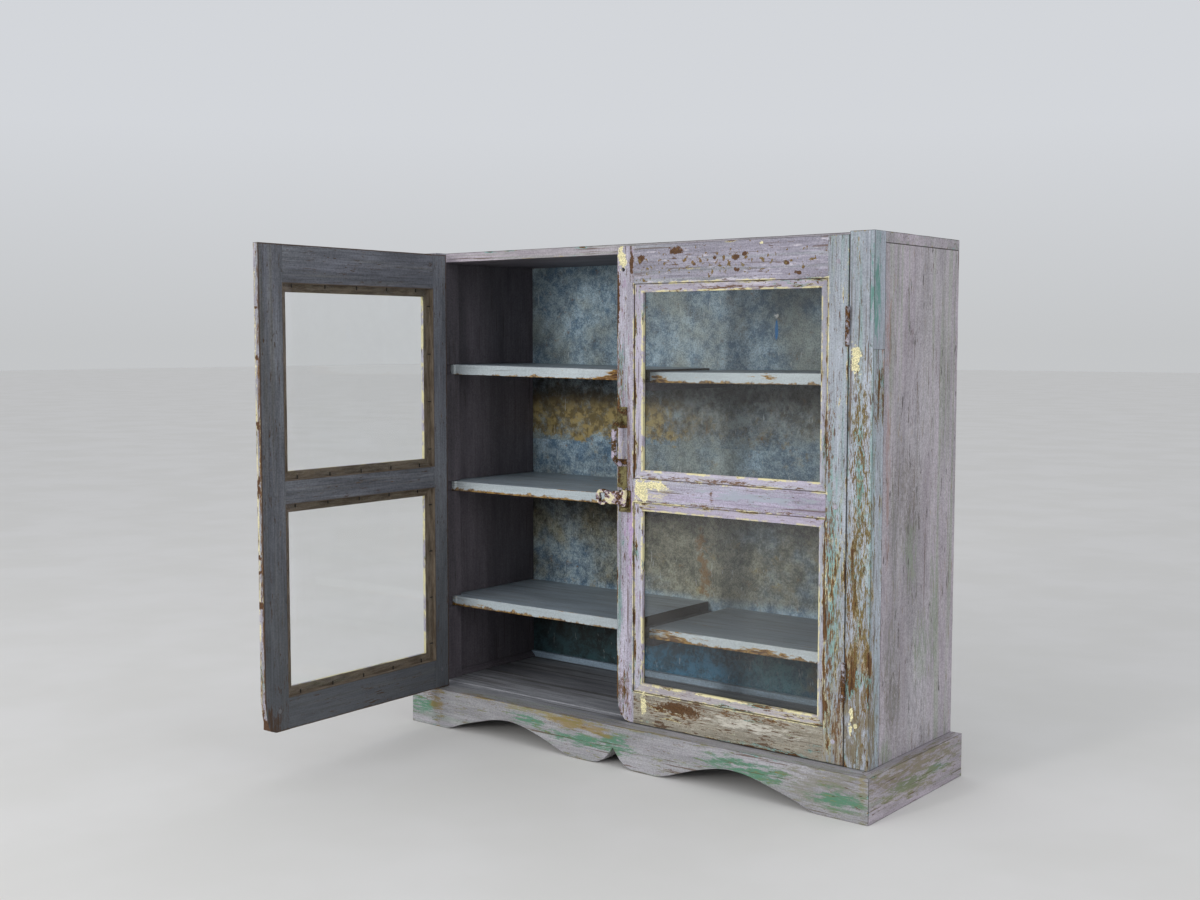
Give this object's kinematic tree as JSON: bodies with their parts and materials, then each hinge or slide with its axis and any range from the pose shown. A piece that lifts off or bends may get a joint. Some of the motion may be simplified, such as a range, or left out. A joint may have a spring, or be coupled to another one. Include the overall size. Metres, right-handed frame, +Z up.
{
  "type": "china cabinet",
  "caption": "Low distressed-paint cabinet with glazed frame doors on a scalloped plinth, shelves inside and a tin back.",
  "frame": {"origin": "on the floor, at the middle of the rear plinth rail's foot", "axes": "+Z up, +X to the right of someone facing the doors, -Y the way the doors face"},
  "size_m": [0.9, 0.6826, 0.822],
  "materials": {
    "lilac_paint": "distressed lilac-grey paint over cream, green and brown layers",
    "plinth_paint": "chalky lilac-white paint smeared with green and ochre",
    "door_inside_paint": "flat slate blue-grey paint",
    "inside_paint": "dull purple-grey paint",
    "shelf_paint": "worn pale blue paint, ochre wood at the edges",
    "pale_blue_paint": "matt pale blue paint",
    "bare_wood": "bare old wood",
    "galvanised_tin": "weathered blue-grey galvanised sheet with ochre stains",
    "old_glass": "thin old window glass, a little dusty",
    "painted_iron": "rusty iron under flaking cream and olive paint",
    "hinge_steel": "painted-over steel, rusty at the knuckles",
    "black_iron": "blackened small tacks and nails"
  },
  "bodies": {
    "carcass": {"back_batten": "pale_blue_paint", "back_nails": "black_iron", "back_sheet_lower": "galvanised_tin", "back_sheet_upper": "galvanised_tin", "bottom_panel": "inside_paint", "centre_post": "inside_paint", "floor_cleat_left": "inside_paint", "floor_cleat_right": "inside_paint", "front_post_left": "lilac_paint", "front_post_right": "lilac_paint", "left_hinge_pin_lower": "hinge_steel", "left_hinge_pin_upper": "hinge_steel", "left_post_leaf_lower": "hinge_steel", "left_post_leaf_upper": "hinge_steel", "plinth_back": "plinth_paint", "plinth_blocks": "plinth_paint", "plinth_front": "plinth_paint", "plinth_side_left": "plinth_paint", "plinth_side_right": "plinth_paint", "post_splice": "lilac_paint", "right_hinge_pin_lower": "hinge_steel", "right_hinge_pin_upper": "hinge_steel", "right_post_leaf_lower": "hinge_steel", "right_post_leaf_upper": "hinge_steel", "shelf_bearers": "inside_paint", "shelf_bottom_left": "shelf_paint", "shelf_bottom_right": "shelf_paint", "shelf_middle_left": "shelf_paint", "shelf_middle_right": "shelf_paint", "shelf_top_left": "shelf_paint", "shelf_top_right": "shelf_paint", "side_panel_left": "inside_paint", "side_panel_right": "lilac_paint", "top_panel": "lilac_paint"},
    "left_door": {"left_bottom_rail": "door_inside_paint", "left_door_leaf_lower": "hinge_steel", "left_door_leaf_upper": "hinge_steel", "left_glass_lower": "old_glass", "left_glass_upper": "old_glass", "left_hinge_stile": "door_inside_paint", "left_meeting_stile": "door_inside_paint", "left_mid_rail": "door_inside_paint", "left_pegs": "bare_wood", "left_staple": "painted_iron", "left_tacks": "black_iron", "left_top_rail": "door_inside_paint"},
    "right_door": {"hasp_plate": "painted_iron", "right_bottom_rail": "lilac_paint", "right_door_leaf_lower": "hinge_steel", "right_door_leaf_upper": "hinge_steel", "right_glass_lower": "old_glass", "right_glass_upper": "old_glass", "right_hinge_stile": "lilac_paint", "right_meeting_stile": "lilac_paint", "right_mid_rail": "lilac_paint", "right_pegs": "bare_wood", "right_pull": "painted_iron", "right_tacks": "black_iron", "right_top_rail": "lilac_paint"},
    "hasp": {"hasp_strap": "painted_iron"}
  },
  "joints": [
    {"name": "left_door_hinge", "type": "hinge", "parent": "carcass", "child": "left_door", "pos_m": [-0.4098, -0.2625, 0.437], "axis": [0, 0, 1], "range_deg": [-25, 80]},
    {"name": "right_door_hinge", "type": "hinge", "parent": "carcass", "child": "right_door", "pos_m": [0.3936, -0.2625, 0.437], "axis": [0, 0, 1], "range_deg": [0, 110]},
    {"name": "hasp_pivot", "type": "hinge", "parent": "right_door", "child": "hasp", "pos_m": [0.006, -0.267, 0.425], "axis": [0, 0, 1], "range_deg": [0, 150]}
  ]
}
